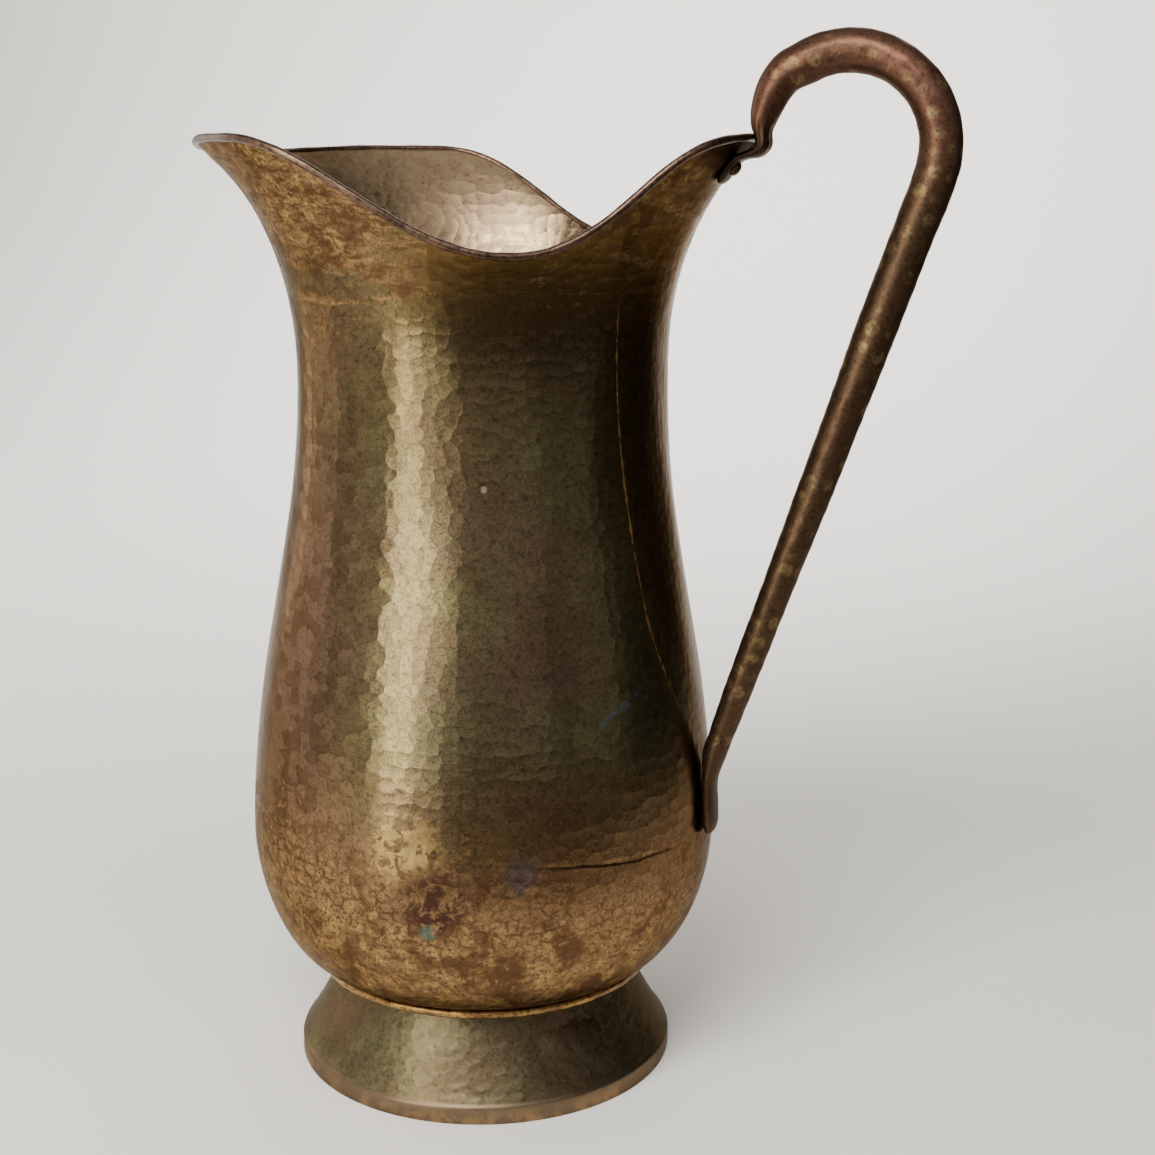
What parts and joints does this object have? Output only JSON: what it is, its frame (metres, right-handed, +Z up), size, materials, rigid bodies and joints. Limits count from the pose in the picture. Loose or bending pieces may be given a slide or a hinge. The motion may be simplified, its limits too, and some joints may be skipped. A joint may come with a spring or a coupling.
{
  "type": "water jug",
  "caption": "Tall hammered metal jug with a wide saddle-shaped mouth, a wired rim, a riveted tube handle and a spreading ring foot.",
  "frame": {"origin": "on the body's axis, in the plane that the foot stands on", "axes": "+Z up along the body's axis; +X from the axis to the handle, so the pouring lip is at -X; the XZ plane is the mirror plane"},
  "size_m": [0.369, 0.247, 0.5281],
  "materials": {
    "patinated_brass": "hammered, with a dark patina",
    "foot_brass": "hammered, with a grey-brown patina",
    "brown_copper_alloy": "hammered, with a red-brown patina",
    "rivet_metal": "dark patina",
    "solder": "dull grey"
  },
  "bodies": {
    "root": {"body_shell": "patinated_brass", "rim_wire": "brown_copper_alloy", "bottom_plate": "patinated_brass", "foot": "foot_brass", "foot_solder": "solder", "handle": "brown_copper_alloy", "upper_rivet": "rivet_metal", "upper_burr": "rivet_metal", "lower_rivets": "rivet_metal", "lower_burrs": "rivet_metal"}
  },
  "joints": []
}
